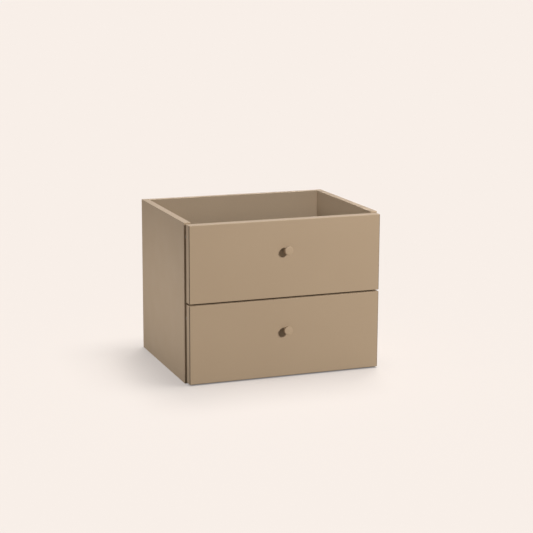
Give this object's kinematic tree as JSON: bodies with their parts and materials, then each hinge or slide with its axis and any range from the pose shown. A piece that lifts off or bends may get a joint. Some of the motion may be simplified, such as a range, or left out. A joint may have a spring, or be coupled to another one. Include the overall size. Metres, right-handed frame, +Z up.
{
  "type": "drawer cabinet",
  "caption": "Open-topped insert cabinet in taupe lacquer, with overlay drawers on side-mounted roller runners and a small turned knob on each front.",
  "frame": {"origin": "on the floor, under the middle of the whole object with its knobs", "axes": "+X to the right as seen from the front, +Y from the drawer fronts to the back, +Z up"},
  "size_m": [0.4, 0.326, 0.315],
  "materials": {
    "taupe_lacquer": "satin taupe lacquer",
    "box_board": "pale melamine-faced board",
    "tray_board": "thin foil-faced hardboard",
    "runner_coating": "pale epoxy coating",
    "roller_nylon": "natural nylon",
    "fastener_steel": "zinc-plated",
    "cam_zinc": "die-cast zinc",
    "dowel_beech": "plain beech",
    "pad_rubber": "soft matte"
  },
  "bodies": {
    "case": {"left_side_panel": "taupe_lacquer", "right_side_panel": "taupe_lacquer", "back_panel": "taupe_lacquer", "floor_panel": "taupe_lacquer", "case_cams": "cam_zinc", "case_cam_bolts": "fastener_steel", "case_dowels": "dowel_beech", "back_panel_screws": "fastener_steel", "stop_pads": "pad_rubber", "upper_left_case_rail": "runner_coating", "upper_right_case_rail": "runner_coating", "upper_case_rail_screws": "fastener_steel", "upper_front_roller_pins": "fastener_steel", "lower_left_case_rail": "runner_coating", "lower_right_case_rail": "runner_coating", "lower_case_rail_screws": "fastener_steel", "lower_front_roller_pins": "fastener_steel"},
    "upper_drawer": {"upper_drawer_front": "taupe_lacquer", "upper_knob": "taupe_lacquer", "upper_knob_screw": "fastener_steel", "upper_drawer_left_side": "box_board", "upper_left_drawer_rail": "runner_coating", "upper_drawer_right_side": "box_board", "upper_right_drawer_rail": "runner_coating", "upper_drawer_back": "box_board", "upper_drawer_tray": "tray_board", "upper_drawer_dowels": "dowel_beech", "upper_drawer_cams": "cam_zinc", "upper_drawer_cam_bolts": "fastener_steel", "upper_drawer_back_screws": "fastener_steel", "upper_drawer_tray_screws": "fastener_steel", "upper_drawer_rail_screws": "fastener_steel", "upper_rear_roller_pins": "fastener_steel"},
    "lower_drawer": {"lower_drawer_front": "taupe_lacquer", "lower_knob": "taupe_lacquer", "lower_knob_screw": "fastener_steel", "lower_drawer_left_side": "box_board", "lower_left_drawer_rail": "runner_coating", "lower_drawer_right_side": "box_board", "lower_right_drawer_rail": "runner_coating", "lower_drawer_back": "box_board", "lower_drawer_tray": "tray_board", "lower_drawer_dowels": "dowel_beech", "lower_drawer_cams": "cam_zinc", "lower_drawer_cam_bolts": "fastener_steel", "lower_drawer_back_screws": "fastener_steel", "lower_drawer_tray_screws": "fastener_steel", "lower_drawer_rail_screws": "fastener_steel", "lower_rear_roller_pins": "fastener_steel"},
    "upper_left_front_wheel": {"upper_left_front_roller": "roller_nylon"},
    "upper_left_rear_wheel": {"upper_left_rear_roller": "roller_nylon"},
    "upper_right_front_wheel": {"upper_right_front_roller": "roller_nylon"},
    "upper_right_rear_wheel": {"upper_right_rear_roller": "roller_nylon"},
    "lower_left_front_wheel": {"lower_left_front_roller": "roller_nylon"},
    "lower_left_rear_wheel": {"lower_left_rear_roller": "roller_nylon"},
    "lower_right_front_wheel": {"lower_right_front_roller": "roller_nylon"},
    "lower_right_rear_wheel": {"lower_right_rear_roller": "roller_nylon"}
  },
  "joints": [
    {"name": "upper_drawer_slide", "type": "slide", "parent": "case", "child": "upper_drawer", "axis": [0, -1, 0], "range_m": [0, 0.19]},
    {"name": "upper_left_front_roller_turn", "type": "hinge", "parent": "case", "child": "upper_left_front_wheel", "pos_m": [-0.1799, -0.113, 0.1876], "axis": [1, 0, 0], "range_deg": [0, 1285]},
    {"name": "upper_left_rear_roller_turn", "type": "hinge", "parent": "upper_drawer", "child": "upper_left_rear_wheel", "pos_m": [-0.1799, 0.111, 0.1853], "axis": [1, 0, 0], "range_deg": [0, 1285]},
    {"name": "upper_right_front_roller_turn", "type": "hinge", "parent": "case", "child": "upper_right_front_wheel", "pos_m": [0.1799, -0.113, 0.1876], "axis": [1, 0, 0], "range_deg": [0, 1285]},
    {"name": "upper_right_rear_roller_turn", "type": "hinge", "parent": "upper_drawer", "child": "upper_right_rear_wheel", "pos_m": [0.1799, 0.111, 0.1853], "axis": [1, 0, 0], "range_deg": [0, 1285]},
    {"name": "lower_drawer_slide", "type": "slide", "parent": "case", "child": "lower_drawer", "axis": [0, -1, 0], "range_m": [0, 0.19]},
    {"name": "lower_left_front_roller_turn", "type": "hinge", "parent": "case", "child": "lower_left_front_wheel", "pos_m": [-0.1799, -0.113, 0.0296], "axis": [1, 0, 0], "range_deg": [0, 1285]},
    {"name": "lower_left_rear_roller_turn", "type": "hinge", "parent": "lower_drawer", "child": "lower_left_rear_wheel", "pos_m": [-0.1799, 0.111, 0.0273], "axis": [1, 0, 0], "range_deg": [0, 1285]},
    {"name": "lower_right_front_roller_turn", "type": "hinge", "parent": "case", "child": "lower_right_front_wheel", "pos_m": [0.1799, -0.113, 0.0296], "axis": [1, 0, 0], "range_deg": [0, 1285]},
    {"name": "lower_right_rear_roller_turn", "type": "hinge", "parent": "lower_drawer", "child": "lower_right_rear_wheel", "pos_m": [0.1799, 0.111, 0.0273], "axis": [1, 0, 0], "range_deg": [0, 1285]}
  ],
  "couplings": [
    {"joint": "upper_left_front_roller_turn", "follows": "upper_drawer_slide", "rad_per_m": 117.65},
    {"joint": "upper_left_rear_roller_turn", "follows": "upper_drawer_slide", "rad_per_m": 117.65},
    {"joint": "upper_right_front_roller_turn", "follows": "upper_drawer_slide", "rad_per_m": 117.65},
    {"joint": "upper_right_rear_roller_turn", "follows": "upper_drawer_slide", "rad_per_m": 117.65},
    {"joint": "lower_left_front_roller_turn", "follows": "lower_drawer_slide", "rad_per_m": 117.65},
    {"joint": "lower_left_rear_roller_turn", "follows": "lower_drawer_slide", "rad_per_m": 117.65},
    {"joint": "lower_right_front_roller_turn", "follows": "lower_drawer_slide", "rad_per_m": 117.65},
    {"joint": "lower_right_rear_roller_turn", "follows": "lower_drawer_slide", "rad_per_m": 117.65}
  ]
}
